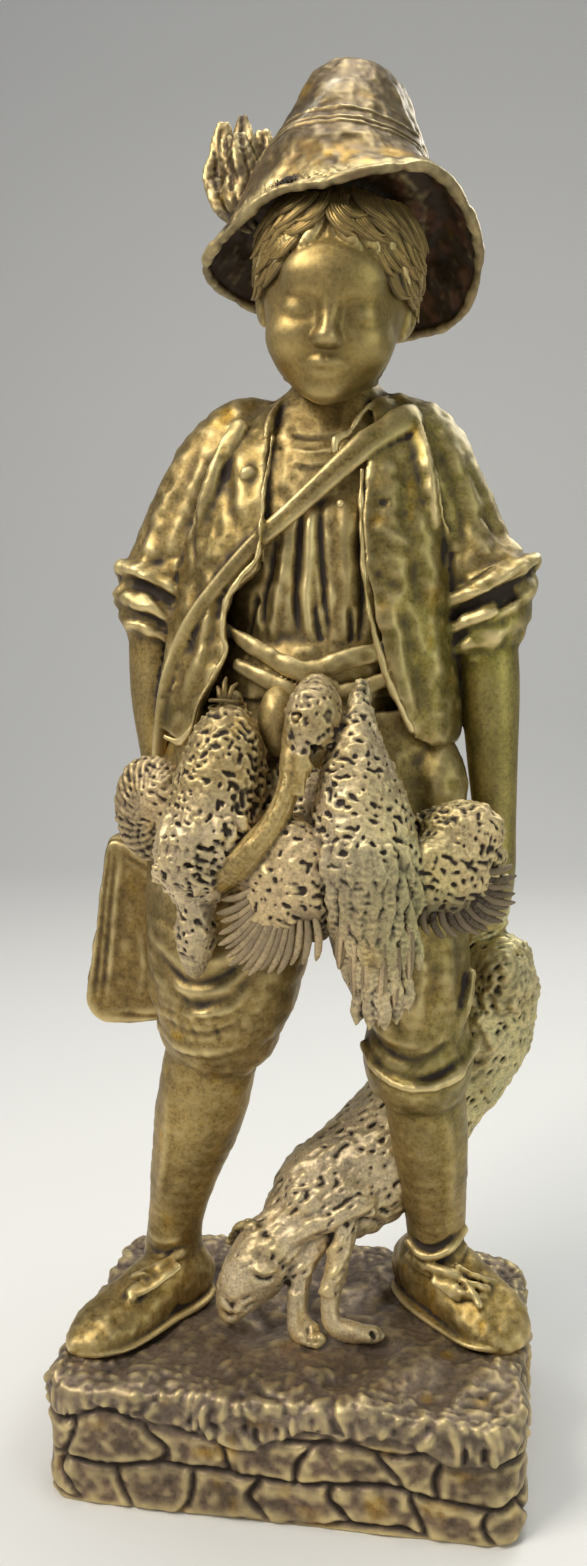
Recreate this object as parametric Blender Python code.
"""Boy hunter statue: a cast boy in a felt hat, hung with game, standing on a masonry plinth.

Metres, +Z up. The plinth's underside is at z = 0, centred on the origin, and the boy faces -Y.
The pose is written as shares of the figure's height: FIGURE_SHARES of them, from the turf to the
hat's top, with x and y measured from the plinth's middle.
"""
import math

import bmesh
import bpy
from mathutils import Matrix, Vector

# Driving dimensions of the plinth
PLINTH_WIDTH = 0.342
PLINTH_DEPTH = 0.232
PLINTH_HEIGHT = 0.092
PLINTH_CORNER_RADIUS = 0.026
COURSE_COUNT = 3
COURSE_HEIGHT = 0.0205
STONE_LENGTH = 0.056
JOINT_WIDTH = 0.0045
JOINT_DEPTH = 0.0030
TURF_OVERHANG = 0.0020
TURF_EDGE_ROLL = 0.016
TURF_LUMP = 0.0022

# Driving dimensions of the casting
FIGURE_HEIGHT = 0.908
FIGURE_SHARES = 908
CONTACT_GAP = 0.0003
FOOT_SINK = 0.004
CARVING_GRAIN = 0.003
HEAD_GRAIN = 0.0026
FIGURE_TRIANGLES = 5900
HEAD_TRIANGLES = 2000

SHARE = FIGURE_HEIGHT / FIGURE_SHARES
NECK_SEAM = 690

# The room in front of the neck that the chin hangs in: lowest and highest corner, in shares
CHIN_ROOM = ((4, -90, 671), (70, -24, 690))

# Colours, linear
GOLD_BRONZE = (0.26, 0.18, 0.055, 1)
HAT_BRONZE = (0.17, 0.12, 0.045, 1)
TURF_BRONZE = (0.16, 0.12, 0.085, 1)

# Sections of the long forms: x, y, z of the centre, half width and half depth
TORSO = (
    (8, 4, 322, 62, 48), (8, 2, 340, 72, 56), (10, 2, 380, 78, 58), (14, 0, 430, 74, 56),
    (20, 0, 480, 62, 50), (26, 2, 530, 66, 53), (29, 4, 590, 72, 56), (30, 8, 635, 74, 51),
    (31, 10, 664, 64, 41), (32, 10, 682, 44, 34), (34, 8, 698, 30, 29),
)
VEST = (
    (12, 2, 436, 100, 56), (12, 0, 447, 109, 62), (12, 0, 475, 110, 63), (15, 0, 520, 103, 62),
    (18, 2, 560, 98, 62), (23, 4, 600, 90, 61), (28, 8, 640, 80, 56), (31, 10, 666, 66, 44),
    (32, 12, 680, 50, 36),
)
VEST_EDGES = (
    (436, -78, 96), (453, -66, 90), (487, -58, 76), (510, -44, 68), (540, -36, 63), (569, -14, 59),
    (622, -8, 61), (655, -4, 72), (676, 8, 62),
)
VEST_SQUARENESS = 2.8
VEST_INNER_REACH = 0.5
LEGS = (
    ((-46, 2, 440, 50, 48), (-50, 2, 392, 58, 54), (-53, -2, 352, 58, 56), (-50, -10, 300, 61, 56),
     (-52, -14, 268, 57, 53), (-54, -13, 246, 46, 48), (-53, -11, 231, 41, 41), (-56, -10, 224, 34, 35)),
    ((62, 2, 440, 56, 48), (67, 2, 392, 56, 54), (72, -2, 350, 52, 56), (78, -6, 300, 50, 53),
     (89, -9, 258, 40, 49),
     (91, -10, 236, 37, 45), (89, -10, 222, 35, 40), (92, -8, 212, 31, 36)),
)
CALVES = (
    ((-58, -10, 240, 34, 35), (-65, -8, 205, 35, 37), (-77, -1, 157, 34, 37), (-91, 6, 110, 27, 31),
     (-100, 10, 72, 22, 26), (-104, 12, 48, 22, 26), (-105, 8, 22, 23, 28), (-106, 4, 4, 24, 30)),
    ((90, -8, 228, 31, 35), (94, -4, 195, 30, 35), (98, 4, 150, 29, 35), (101, 11, 104, 25, 29),
     (102, 15, 66, 22, 25), (102, 17, 44, 22, 26), (104, 15, 20, 23, 27), (106, 12, 4, 24, 28)),
)
GARTERS = (
    ((-56, -12, 247, 45, 46), (-57, -12, 239, 46, 48), (-58, -12, 231, 43, 45), (-60, -12, 225, 38, 39)),
    ((90, -10, 222, 36, 41), (91, -10, 216, 40, 44), (92, -9, 207, 40, 44), (93, -8, 200, 34, 38)),
)
SHOES = (
    ((-84, 26, 20, 12, 18), (-86, 20, 22, 21, 24), (-98, 2, 24, 24, 27), (-112, -18, 22, 24, 25),
     (-126, -40, 17, 26, 19), (-139, -59, 14, 26, 15), (-149, -73, 11, 18, 11), (-153, -79, 9, 8, 7)),
    ((78, 68, 18, 12, 16), (83, 62, 22, 21, 24), (97, 48, 24, 24, 27), (115, 32, 22, 25, 25),
     (134, 14, 17, 26, 19), (149, -1, 14, 26, 15), (160, -12, 11, 18, 11), (164, -16, 9, 8, 7)),
)
SOLE_MIDDLE = 4
SOLE_EDGE = 3
SLEEVES = (
    ((-20, 12, 668, 20, 24), (-38, 10, 654, 32, 34), (-58, 9, 624, 36, 37), (-74, 8, 594, 35, 36),
     (-88, 6, 568, 33, 34), (-98, 5, 544, 28, 31)),
    ((78, 14, 664, 22, 26), (92, 14, 648, 31, 35), (106, 13, 618, 33, 37), (117, 12, 590, 33, 36),
     (130, 8, 562, 31, 34), (138, 5, 540, 28, 31)),
)
CUFFS = (
    ((-94, 5, 568, 29, 31), (-99, 5, 560, 33, 34), (-101, 4, 538, 29, 32), (-100, 4, 526, 22, 25)),
    ((140, 6, 566, 28, 30), (145, 5, 555, 32, 34), (139, 3, 526, 30, 32), (136, 2, 510, 24, 26)),
)
FOREARMS = (
    ((-102, 4, 540, 20, 21), (-102, 2, 482, 20, 20), (-97, -4, 434, 17, 17), (-93, -12, 404, 15, 16),
     (-90, -24, 388, 17, 18), (-84, -36, 374, 14, 15)),
    ((139, 3, 530, 20, 21), (142, 0, 486, 21, 21), (144, 0, 430, 18, 18), (146, 0, 380, 15, 15),
     (145, 2, 352, 16, 20), (143, 4, 328, 15, 19), (140, 6, 312, 10, 13)),
)
NECK = ((34, 8, 680, 29, 29), (35, 4, 704, 27, 28), (38, -6, 726, 27, 29), (40, -8, 742, 27, 29))
# The strap's places on the vest, x and z, then how it hangs behind to the satchel
STRAP_OVER = ((96, 34, 655), (97, 6, 670), (88, -28, 666))
STRAP_ACROSS = ((48, 633), (12, 601), (-18, 576), (-54, 536), (-80, 500), (-90, 468))
STRAP_BEHIND = ((-100, -12, 410), (-108, 6, 342))
STRAP_HALF_WIDTH = 8
STRAP_HALF_THICKNESS = 3
SASH = ((24, 0, 512, 60, 47), (22, 0, 504, 66, 53), (20, 0, 490, 67, 54), (18, 0, 478, 69, 53))
COLLAR_SIDES = (
    ((32, 44, 682, 5, 6), (4, 34, 684, 5, 7), (-8, 8, 682, 5, 8), (-4, -24, 678, 5, 9), (-2, -44, 668, 3, 6)),
    ((36, 44, 682, 5, 6), (64, 36, 684, 5, 7), (76, 12, 682, 5, 8), (76, -18, 679, 5, 10),
     (80, -38, 668, 3, 7)),
)
HARE_BODY = (
    (134, 50, 304, 13, 14), (133, 54, 280, 22, 24), (139, 58, 240, 37, 37), (130, 60, 200, 38, 40),
    (98, 54, 160, 38, 41), (70, 44, 127, 38, 43), (42, 28, 102, 36, 44), (14, 12, 88, 32, 37),
    (-6, -2, 68, 25, 26), (-22, -10, 52, 22, 23),
)
HARE_HEAD = ((-12, -6, 60, 20, 20), (-28, -14, 45, 26, 25), (-42, -22, 28, 21, 20), (-49, -28, 15, 12, 11))
HARE_LIMBS = (
    ((-18, -2, 62, 5, 10), (-44, 0, 72, 4, 11), (-68, 0, 66, 3, 5)),
    ((38, -6, 84, 12, 13), (30, -24, 54, 9, 10), (24, -34, 22, 8, 8), (38, -38, 10, 8, 7),
     (58, -34, 8, 10, 6)),
    ((14, -8, 60, 11, 11), (2, -26, 34, 9, 9), (4, -34, 10, 10, 8), (9, -38, 6, 11, 6)),
    ((132, 50, 288, 8, 9), (136, 32, 316, 7, 8), (138, 16, 340, 7, 7)),
    ((144, 50, 288, 8, 9), (149, 32, 316, 7, 8), (148, 16, 340, 7, 7)),
)
HUNG_BIRDS = (
    ((-24, -74, 478, 8, 8), (-25, -82, 460, 11, 12), (-25, -86, 440, 17, 20), (-28, -88, 412, 33, 32),
     (-34, -89, 386, 30, 34), (-40, -86, 364, 25, 30), (-47, -86, 340, 14, 22), (-51, -85, 314, 13, 20),
     (-54, -85, 292, 6, 10)),
    ((58, -74, 482, 8, 10), (58, -82, 450, 20, 24), (60, -86, 413, 27, 30), (62, -86, 368, 36, 34),
     (66, -86, 340, 32, 32), (70, -86, 316, 25, 26), (69, -88, 290, 16, 14), (73, -92, 270, 7, 6)),
    ((36, -88, 482, 12, 18), (36, -92, 470, 20, 24), (33, -98, 454, 16, 18), (28, -108, 436, 9, 7),
     (24, -112, 421, 5, 4)),
    ((15, -98, 442, 8, 10), (11, -102, 404, 9, 10), (-2, -106, 382, 9, 9), (-22, -106, 366, 8, 9)),
)

# Balls: x, y, z of the centre and the three half sizes
BALLS = (
    (-92, -52, 398, 29, 16, 38), (14, -58, 462, 16, 16, 26), (10, -62, 392, 40, 24, 40),
    (10, 26, 376, 84, 46, 66),
    (-52, 20, 356, 54, 44, 56), (76, 20, 356, 48, 44, 56),
)

# A wing spreads from its shoulder to tips along an arc: shoulder, first tip, middle tip, last tip
WINGS = (
    ((30, -104, 392), (-30, -96, 348), (-24, -94, 306), (34, -100, 312)),
    ((90, -84, 388), (152, -56, 372), (150, -56, 336), (100, -80, 330)),
)
QUILLS_PER_WING = 8
QUILL_HALF_WIDTH = 6
WING_BULGE = 8

# Along a quill: reach from the shoulder, then width and depth as shares of its half width
QUILL_STATIONS = ((0, 1.2, 1.5), (0.35, 1.8, 2.0), (0.7, 1.5, 1.4), (0.92, 1.1, 0.9), (1, 0.4, 0.4))

SATCHEL = ((-144, 372), (-122, 366), (-84, 340), (-84, 230), (-153, 222), (-169, 238))
SATCHEL_MIDDLE = 10
SATCHEL_HALF_DEPTH = 15

# The head, in shares from a point between the ears at the height of the eyes
HEAD_PLACE = (37, -15, 743)
HEAD_SCALE = 1.08
HEAD_BOW = 14
HEAD_TURN = 6
HEAD_ROLL = 7
HEAD_BALLS = (
    (0, 10, 16, 48, 54, 50), (0, -4, -2, 43, 48, 44), (0, -12, -26, 38, 42, 32), (0, -28, -44, 19, 23, 15),
    (-20, -34, -20, 18, 20, 18), (20, -34, -20, 18, 20, 18), (0, -47, -37, 15, 8, 8), (0, -53, -18, 8, 9, 7),
    (0, -50, -6, 6, 8, 12), (-18, -45, -1, 11, 7, 7), (18, -45, -1, 11, 7, 7), (-47, 6, -8, 7, 11, 15),
    (47, 6, -8, 7, 11, 15),
)
HAIR_LOCK_COUNT = 19
HAIR_RING = (47, 53)

# The hat, in shares from the middle of its head opening
HAT_PLACE = (40, 2, 818)
HAT_TILT = 17.6
CROWN = ((61, 0), (57, 7), (52, 18), (47, 31), (42, 46), (37, 61), (32, 74), (26, 84), (17, 91), (1, 93))
CROWN_FOOT = ((58, -14),)
BRIM_ROOT = 60
BRIM_THICKNESS = 5
HAT_STEPS = 48
HAT_BAND = ((53, 11), (57, 14), (54, 23), (48, 27))

# Angle in degrees from the boy's left round to the front being -90, rim radius, drop of the rim
RIM = (
    (-90, 76, 46), (-62, 84, 37), (-40, 88, 27), (-12, 90, 30), (15, 99, 38), (40, 105, 56), (70, 104, 50),
    (105, 102, 40), (140, 104, 36), (178, 97, 45), (208, 79, 46), (241, 72, 39), (270, 76, 46),
)
PLUME_ROOT = (-26, 8, 812)
PLUMES = ((-40, 14, 890), (-58, 14, 868), (-27, 10, 882), (-60, 8, 842), (-16, 16, 868), (-52, 2, 822))


def place(point):
    """A point given in shares, as metres."""
    return Vector(point) * SHARE + Vector((0, 0, PLINTH_HEIGHT))


def material(name, colour, roughness, metallic):
    made = bpy.data.materials.new(name)
    made.use_nodes = True
    shader = made.node_tree.nodes["Principled BSDF"]
    shader.inputs["Base Color"].default_value = colour
    shader.inputs["Roughness"].default_value = roughness
    shader.inputs["Metallic"].default_value = metallic
    return made


def skin_rings(clay, rings):
    """Bridge closed rings of points into one closed shell."""
    loops = [[clay.verts.new(point) for point in ring] for ring in rings]
    count = len(loops[0])
    for lower, upper in zip(loops, loops[1:]):
        for i in range(count):
            j = (i + 1) % count
            clay.faces.new((lower[i], lower[j], upper[j], upper[i]))
    clay.faces.new(list(reversed(loops[0])))
    clay.faces.new(loops[-1])


def loft(clay, sections, frame=place, across=(1, 0, 0), segments=14):
    """A closed tube through elliptical sections, each square to the path."""
    centres = [frame(section[:3]) for section in sections]
    rings = []
    for i, section in enumerate(sections):
        along = (centres[min(i + 1, len(centres) - 1)] - centres[max(i - 1, 0)]).normalized()
        side = (Vector(across) - along * along.dot(Vector(across))).normalized()
        depth = along.cross(side)
        half_width, half_depth = section[3] * SHARE, section[4] * SHARE
        turns = [2 * math.pi * k / segments for k in range(segments)]
        rings.append([
            centres[i] + side * half_width * math.cos(turn) + depth * half_depth * math.sin(turn)
            for turn in turns
        ])
    skin_rings(clay, rings)


def ball(clay, centre, half_sizes, frame=place):
    """An ellipsoid that lies along the frame's own axes."""
    middle = frame(centre)
    axes = [frame(Vector(centre) + Vector(axis)) - middle for axis in ((1, 0, 0), (0, 1, 0), (0, 0, 1))]
    made = bmesh.ops.create_icosphere(clay, subdivisions=3, radius=1)
    for vert in made["verts"]:
        vert.co = middle + sum((axes[k] * half_sizes[k] * vert.co[k] for k in range(3)), Vector())


def between(stations, value):
    """Read a list of stations, each starting with its own value, at a value between them."""
    for low, high in zip(stations, stations[1:]):
        if value <= high[0]:
            break
    share = min(max((value - low[0]) / (high[0] - low[0]), 0), 1)
    return [a + (b - a) * share for a, b in zip(low[1:], high[1:])]


def squared(value):
    """A cosine or sine drawn out, so that an ellipse made with it is boxier."""
    return math.copysign(abs(value) ** (2 / VEST_SQUARENESS), value)


def turn_at(offset, half_width):
    """The turn of the boxy ellipse at a distance to the side of its middle, in front of it."""
    share = max(-1, min(1, offset / half_width))
    return -math.acos(math.copysign(abs(share) ** (VEST_SQUARENESS / 2), share))


def vest(clay):
    """The open vest: a C round the trunk, from one front edge round the back to the other."""
    steps = 26
    rings = []
    for x, y, z, half_width, half_depth in VEST:
        left_edge, right_edge = between(VEST_EDGES, z)
        start = turn_at(right_edge - x, half_width)
        end = 2 * math.pi + turn_at(left_edge - x, half_width)
        turns = [start + (end - start) * k / steps for k in range(steps + 1)]
        ring = []
        for reach, order in ((1, turns), (VEST_INNER_REACH, turns[::-1])):
            for t in order:
                side = half_width * reach * squared(math.cos(t))
                front = half_depth * reach * squared(math.sin(t))
                ring.append(place((x + side, y + front, z)))
        rings.append(ring)
    skin_rings(clay, rings)


def vest_front(x, z):
    """How far forward the vest's surface lies at a place on it."""
    middle_x, middle_y, half_width, half_depth = between([(s[2], s[0], s[1], s[3], s[4]) for s in VEST], z)
    share = min(abs(x - middle_x) / half_width, 1)
    return middle_y - half_depth * (1 - share ** VEST_SQUARENESS) ** (1 / VEST_SQUARENESS)


def strap(clay):
    """The satchel's strap, over the boy's left shoulder and across to the right hip."""
    across = [(x, vest_front(x, z) - STRAP_HALF_THICKNESS / 2, z) for x, z in STRAP_ACROSS]
    route = (*STRAP_OVER, *across, *STRAP_BEHIND)
    sections = [(*point, STRAP_HALF_THICKNESS, STRAP_HALF_WIDTH) for point in route]
    loft(clay, sections, across=(0.2, -1, 0.2), segments=8)


def slab(clay, outline, middle, half_depth):
    """A flat closed plate from an outline in x and z, with eased edges."""
    centre_x = sum(x for x, z in outline) / len(outline)
    centre_z = sum(z for x, z in outline) / len(outline)
    rings = []
    for reach, size in ((1, 0.9), (0.6, 1), (-0.6, 1), (-1, 0.9)):
        y = middle + half_depth * reach
        rings.append([
            place((centre_x + (x - centre_x) * size, y, centre_z + (z - centre_z) * size))
            for x, z in outline
        ])
    skin_rings(clay, rings)


def wing(clay, shoulder, first, middle, last):
    """A spread wing: long quills that fan from its shoulder, thick at the root."""
    pull = [2 * m - (f + e) / 2 for f, m, e in zip(first, middle, last)]
    for k in range(QUILLS_PER_WING):
        share = k / (QUILLS_PER_WING - 1)
        weights = ((1 - share) ** 2, 2 * share * (1 - share), share ** 2)
        tip = [sum(w * v for w, v in zip(weights, values)) for values in zip(first, pull, last)]
        sections = []
        for reach, width, depth in QUILL_STATIONS:
            x, y, z = [a + (b - a) * reach for a, b in zip(shoulder, tip)]
            y -= WING_BULGE * math.sin(math.pi * reach)
            sections.append((x, y, z, QUILL_HALF_WIDTH * width, QUILL_HALF_WIDTH * depth))
        loft(clay, sections, across=(1, 0, 0.3), segments=8)


def head_frame(point):
    """A point of the bowed and turned head, as metres."""
    turn = Matrix.Rotation(math.radians(HEAD_TURN), 3, "Z")
    bow = Matrix.Rotation(math.radians(HEAD_BOW), 3, "X")
    roll = Matrix.Rotation(math.radians(HEAD_ROLL), 3, "Y")
    return place(Vector(HEAD_PLACE) + turn @ roll @ bow @ Vector(point) * HEAD_SCALE)


def hat_frame(point):
    """A point of the hat, which is pushed back on the head, as metres."""
    tilt = Matrix.Rotation(math.radians(-HAT_TILT), 3, "X")
    return place(Vector(HAT_PLACE) + tilt @ Vector(point))


def ring_of(radius, height):
    """A level circle of the hat."""
    turns = [2 * math.pi * k / HAT_STEPS for k in range(HAT_STEPS)]
    return [hat_frame((radius * math.cos(t), radius * math.sin(t), height)) for t in turns]


def hat(clay):
    """Crown, hat band and drooping brim."""
    skin_rings(clay, [ring_of(radius, height) for radius, height in CROWN_FOOT + CROWN])
    skin_rings(clay, [ring_of(radius, height) for radius, height in HAT_BAND])
    sheets = []
    for side in (0.5, -0.5):
        lift = side * BRIM_THICKNESS
        sheet = []
        for reach in (0, 0.33, 0.66, 1):
            ring = []
            for k in range(HAT_STEPS):
                turn = 2 * math.pi * k / HAT_STEPS
                degrees = math.degrees(turn)
                rim_radius, drop = between(RIM, degrees if degrees <= 270 else degrees - 360)
                radius = BRIM_ROOT + (rim_radius - BRIM_ROOT) * reach + lift * drop / rim_radius * 2
                point = (radius * math.cos(turn), radius * math.sin(turn), lift - drop * reach)
                ring.append(hat_frame(point))
            sheet.append(ring)
        sheets.append([ring_of(BRIM_ROOT - 10, lift)] + sheet)
    band_rings(clay, sheets[0] + sheets[1][::-1])


def band_rings(clay, rings):
    """Bridge rings into a closed band, the last ring joined back to the first."""
    loops = [[clay.verts.new(point) for point in ring] for ring in rings]
    count = len(loops[0])
    for lower, upper in zip(loops, loops[1:] + loops[:1]):
        for i in range(count):
            j = (i + 1) % count
            clay.faces.new((lower[j], lower[i], upper[i], upper[j]))


def hair(clay):
    """Locks that fall from under the hat round the brow and the sides."""
    for k in range(HAIR_LOCK_COUNT):
        turn = math.radians(-200 + 220 * k / (HAIR_LOCK_COUNT - 1))
        side, front = math.cos(turn), math.sin(turn)
        length = 12 + 32 * abs(side) ** 2 + 4 * math.sin(k * 2.1)
        swing = 5 * math.sin(k * 1.7)
        top = (HAIR_RING[0] * side * 0.94, HAIR_RING[1] * front * 0.94 + 6, 52)
        middle = (HAIR_RING[0] * side + swing * 0.4, HAIR_RING[1] * front + 4, 52 - length * 0.6)
        tip = ((HAIR_RING[0] + 1) * side + swing, (HAIR_RING[1] - 2) * front + 5, 52 - length)
        loft(clay, (top + (10, 7), middle + (8, 6), tip + (3, 3)), frame=head_frame, segments=8)


def plumes(clay):
    """The leafy cockade at the side of the hat."""
    for tip in PLUMES:
        middle = [a + (b - a) * 0.6 for a, b in zip(PLUME_ROOT, tip)]
        loft(clay, (PLUME_ROOT + (4, 4), (*middle, 12, 6), (*tip, 5, 4)), across=(0.6, 1, 0), segments=8)


def solid_from(name, clay, grain, triangles, looks):
    """Fuse the clay's shells into one skin and thin it to its share of triangles."""
    bmesh.ops.recalc_face_normals(clay, faces=clay.faces)
    mesh = bpy.data.meshes.new(name)
    clay.to_mesh(mesh)
    clay.free()
    made = bpy.data.objects.new(name, mesh)
    bpy.context.scene.collection.objects.link(made)
    made.data.materials.append(looks)
    fuse = made.modifiers.new("Fuse", "REMESH")
    fuse.mode = "VOXEL"
    fuse.voxel_size = grain
    fuse.use_smooth_shade = True
    ease = made.modifiers.new("Ease", "SMOOTH")
    ease.factor = 0.5
    ease.iterations = 2
    seen = made.evaluated_get(bpy.context.evaluated_depsgraph_get())
    fused = seen.to_mesh()
    whole = sum(len(polygon.vertices) - 2 for polygon in fused.polygons)
    seen.to_mesh_clear()
    thin = made.modifiers.new("Thin", "DECIMATE")
    thin.ratio = triangles / whole
    return made


def cut_by(made, cutter):
    cut = made.modifiers.new("Cut by " + cutter.name, "BOOLEAN")
    cut.operation = "DIFFERENCE"
    cut.object = cutter


def guide(name, mesh):
    """A cutter, which is not part of the model."""
    made = bpy.data.objects.new(name, mesh)
    bpy.context.scene.collection.objects.link(made)
    made.hide_render = True
    made.display_type = "WIRE"
    return made


def box_guide(name, low, high):
    """A box cutter between two corners given in shares."""
    shell = bmesh.new()
    bmesh.ops.create_cube(shell, size=1)
    corners = (place(low), place(high))
    for vert in shell.verts:
        vert.co = Vector([corners[vert.co[axis] > 0][axis] for axis in range(3)])
    mesh = bpy.data.meshes.new(name)
    shell.to_mesh(mesh)
    shell.free()
    return guide(name, mesh)


def part_at_neck(body, top):
    """Cut body and head apart at the neck seam, leaving the chin its room in front of the neck."""
    gap = CONTACT_GAP / SHARE
    (left, front, floor), (right, back, ceiling) = CHIN_ROOM
    far = FIGURE_SHARES
    cut_by(body, box_guide("cutter_above_neck", (-far, -far, NECK_SEAM), (far, far, far * 2)))
    cut_by(body, box_guide("cutter_chin_room", (left, front, floor), (right, back, ceiling + gap)))
    below = NECK_SEAM + gap
    cut_by(top, box_guide("cutter_under_chin", (-far, -far, 0), (far, far, floor + gap)))
    cut_by(top, box_guide("cutter_below_neck", (-far, back - gap, 0), (far, far, below)))
    cut_by(top, box_guide("cutter_right_of_chin", (-far, -far, 0), (left + gap, far, below)))
    cut_by(top, box_guide("cutter_left_of_chin", (right - gap, -far, 0), (far, far, below)))


def plinth_ring(inset, steps):
    """Points round a rounded rectangle, evenly spaced, smaller by the inset."""
    corner = max(PLINTH_CORNER_RADIUS - inset, 0.004)
    half_x = PLINTH_WIDTH / 2 - inset - corner
    half_y = PLINTH_DEPTH / 2 - inset - corner
    arc = math.pi / 2 * corner
    sides = ((half_x, -half_y, 0), (half_x, half_y, 1), (-half_x, half_y, 2), (-half_x, -half_y, 3))
    path = []
    for centre_x, centre_y, quarter in sides:
        for k in range(9):
            turn = math.pi / 2 * (quarter - 1 + k / 8)
            path.append((centre_x + corner * math.cos(turn), centre_y + corner * math.sin(turn)))
    lengths = [0]
    closed = path + path[:1]
    for (ax, ay), (bx, by) in zip(closed, closed[1:]):
        lengths.append(lengths[-1] + math.hypot(bx - ax, by - ay))
    points = []
    for k in range(steps):
        target = lengths[-1] * k / steps
        i = max(n for n, length in enumerate(lengths[:-1]) if length <= target)
        share = (target - lengths[i]) / max(lengths[i + 1] - lengths[i], 1e-9)
        points.append(tuple(a + (b - a) * share for a, b in zip(closed[i], closed[i + 1])))
    return points


def turf_lift(x, y):
    """The low lumps of the turf."""
    broad = math.sin(x * 61 + y * 23) * math.cos(y * 47 - x * 19)
    return TURF_LUMP * (broad + 0.5 * math.sin(x * 113 - y * 71))


def plinth(looks):
    """Courses of stones with sunk joints, under turf that rolls over their top edge."""
    perimeter = 2 * (PLINTH_WIDTH + PLINTH_DEPTH)
    steps = 2 * round(perimeter / STONE_LENGTH)
    shell = bmesh.new()
    wall_top = COURSE_COUNT * COURSE_HEIGHT
    rise = PLINTH_HEIGHT - wall_top
    levels = [(JOINT_DEPTH + TURF_OVERHANG, k * COURSE_HEIGHT) for k in range(COURSE_COUNT + 1)]
    turf = [
        (TURF_OVERHANG * 0.3, wall_top + rise * 0.08), (0, wall_top + rise * 0.35),
        (TURF_EDGE_ROLL * 0.25, wall_top + rise * 0.75), (TURF_EDGE_ROLL, PLINTH_HEIGHT),
        (PLINTH_DEPTH * 0.2, PLINTH_HEIGHT), (PLINTH_DEPTH * 0.34, PLINTH_HEIGHT),
    ]
    loops = []
    for inset, height in levels + turf:
        loop = []
        for x, y in plinth_ring(inset, steps):
            lump = turf_lift(x, y) if height > wall_top else 0
            loop.append(shell.verts.new((x, y, height + lump)))
        loops.append(loop)
    stones = []
    for row, (lower, upper) in enumerate(zip(loops, loops[1:])):
        stride = 2 if row < COURSE_COUNT else 1
        for i in range(row % stride, steps, stride):
            low_edge = [lower[(i + k) % steps] for k in range(stride + 1)]
            high_edge = [upper[(i + k) % steps] for k in range(stride, -1, -1)]
            face = shell.faces.new(low_edge + high_edge)
            if row < COURSE_COUNT:
                stones.append(face)
    shell.faces.new(loops[-1])
    shell.faces.new(list(reversed(loops[0])))
    shell.normal_update()
    bmesh.ops.inset_individual(shell, faces=stones, thickness=JOINT_WIDTH / 2, depth=JOINT_DEPTH)
    bmesh.ops.triangulate(shell, faces=shell.faces)
    mesh = bpy.data.meshes.new("plinth")
    shell.to_mesh(mesh)
    shell.free()
    made = bpy.data.objects.new("plinth", mesh)
    bpy.context.scene.collection.objects.link(made)
    mesh.materials.append(looks)
    return made


def figure(looks):
    """The boy's body and clothes with the game, the satchel and the hare, cast as one."""
    clay = bmesh.new()
    loft(clay, TORSO, across=(0.99, 0.139, 0), segments=20)
    vest(clay)
    for forms in (LEGS, CALVES, GARTERS, SLEEVES, CUFFS, FOREARMS):
        for sections in forms:
            loft(clay, sections, segments=18)
    for sections in SHOES:
        sunk = [(x, y, z - FOOT_SINK / SHARE, w, h) for x, y, z, w, h in sections]
        soles = [(x, y, SOLE_MIDDLE, w + SOLE_EDGE, SOLE_MIDDLE + 2) for x, y, z, w, h in sections]
        loft(clay, sunk, segments=16)
        loft(clay, soles, segments=16)
    strap(clay)
    loft(clay, SASH, segments=20)
    for sections in COLLAR_SIDES:
        loft(clay, sections, across=(0, 0, 1), segments=10)
    loft(clay, HARE_BODY, across=(0.4, 1, 0), segments=16)
    loft(clay, HARE_HEAD, across=(0.5, -0.8, 0), segments=14)
    for sections in HARE_LIMBS:
        loft(clay, sections, segments=10)
    for sections in HUNG_BIRDS:
        loft(clay, sections, segments=14)
    for x, y, z, *half_sizes in BALLS:
        ball(clay, (x, y, z), half_sizes)
    for points in WINGS:
        wing(clay, *points)
    slab(clay, SATCHEL, SATCHEL_MIDDLE, SATCHEL_HALF_DEPTH)
    return solid_from("figure", clay, CARVING_GRAIN, FIGURE_TRIANGLES, looks)


def head(looks):
    """The head with its hair, hat and cockade, cast on its own and set on the neck."""
    clay = bmesh.new()
    for x, y, z, *half_sizes in HEAD_BALLS:
        ball(clay, (x, y, z), half_sizes, frame=head_frame)
    loft(clay, NECK, segments=18)
    hair(clay)
    hat(clay)
    plumes(clay)
    return solid_from("head_with_hat", clay, HEAD_GRAIN, HEAD_TRIANGLES, looks)


def main():
    for old in list(bpy.data.objects):
        bpy.data.objects.remove(old, do_unlink=True)
    base = plinth(material("turf_bronze", TURF_BRONZE, 0.6, 0.6))
    body = figure(material("gold_bronze", GOLD_BRONZE, 0.42, 0.8))
    top = head(material("hat_bronze", HAT_BRONZE, 0.45, 0.8))
    raised = guide("cutter_plinth", base.data.copy())
    raised.location.z = CONTACT_GAP
    cut_by(body, raised)
    part_at_neck(body, top)


main()
